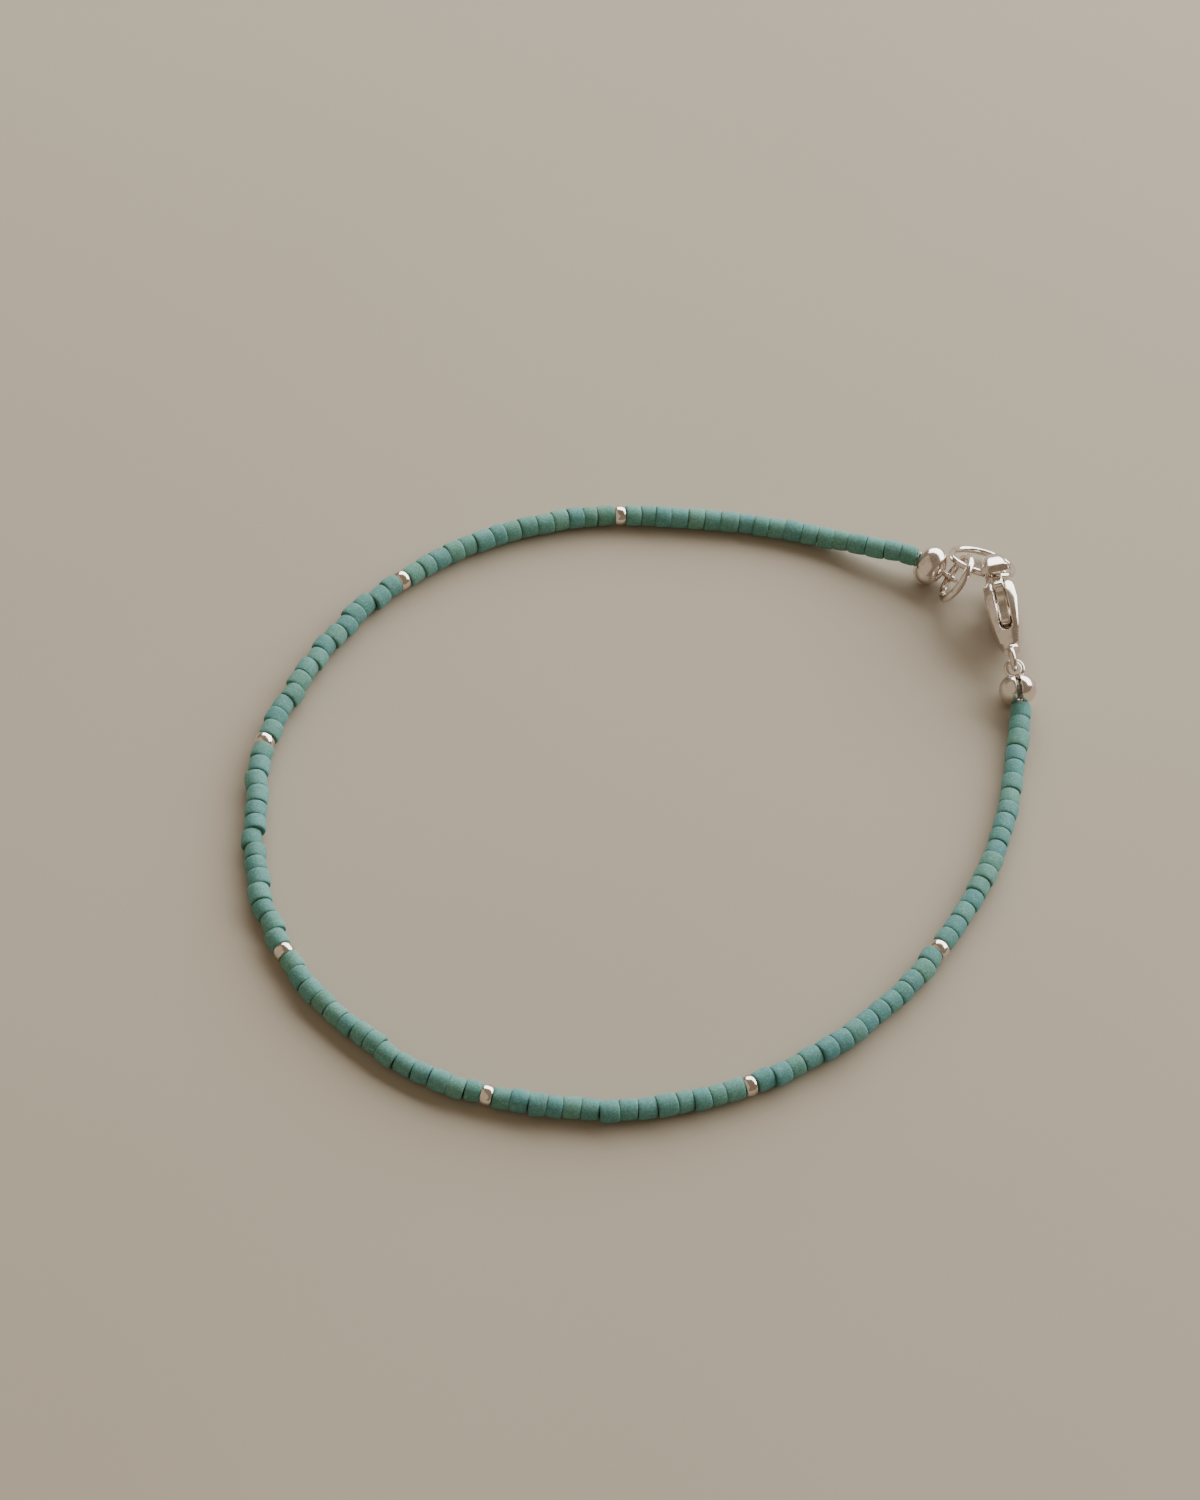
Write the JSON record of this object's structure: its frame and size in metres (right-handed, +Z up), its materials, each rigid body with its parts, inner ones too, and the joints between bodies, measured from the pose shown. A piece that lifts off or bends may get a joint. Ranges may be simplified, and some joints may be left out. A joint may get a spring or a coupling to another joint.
{
  "type": "beaded bracelet",
  "caption": "Thin bracelet of matte sea-green seed beads with small silver spacer beads, closed by a lobster clasp, jump rings and two-cup knot covers, lying flat as a loop.",
  "frame": {"origin": "on the table under the middle of the bracelet's bounding box", "axes": "+Z up from the table the loop lies on, +Y away from the viewer of the picture, +X to the picture's right, towards the clasp"},
  "size_m": [0.0584, 0.0566, 0.0051],
  "materials": {
    "etched_glass": "opaque sea-green glass, etched matte",
    "spacer_silver": "polished silver",
    "finding_silver": "polished silver with light wear",
    "wire_silver": "drawn silver wire, polished",
    "thread": "pale beading thread"
  },
  "bodies": {
    "bracelet": {"bead_string_1": "etched_glass", "bead_string_2": "etched_glass", "bead_string_3": "etched_glass", "bead_string_4": "etched_glass", "bead_string_5": "etched_glass", "bead_string_6": "etched_glass", "bead_string_7": "etched_glass", "bead_string_8": "etched_glass", "spacer_1": "spacer_silver", "spacer_2": "spacer_silver", "spacer_3": "spacer_silver", "spacer_4": "spacer_silver", "spacer_5": "spacer_silver", "spacer_6": "spacer_silver", "spacer_7": "spacer_silver", "thread": "thread", "knot_cover_1": "finding_silver", "knot_cover_2": "finding_silver", "jump_ring_1": "wire_silver", "jump_ring_2": "wire_silver", "clasp_body": "finding_silver"},
    "lever": {"clasp_lever": "finding_silver"}
  },
  "joints": [
    {"name": "lever_hinge", "type": "hinge", "parent": "bracelet", "child": "lever", "pos_m": [0.02625, 0.0193, 0.00337], "axis": [-0.9403, -0.1999, -0.2756], "range_deg": [0, 18], "stiffness_Nm_per_rad": 0.004, "springref_deg": -17.19}
  ]
}
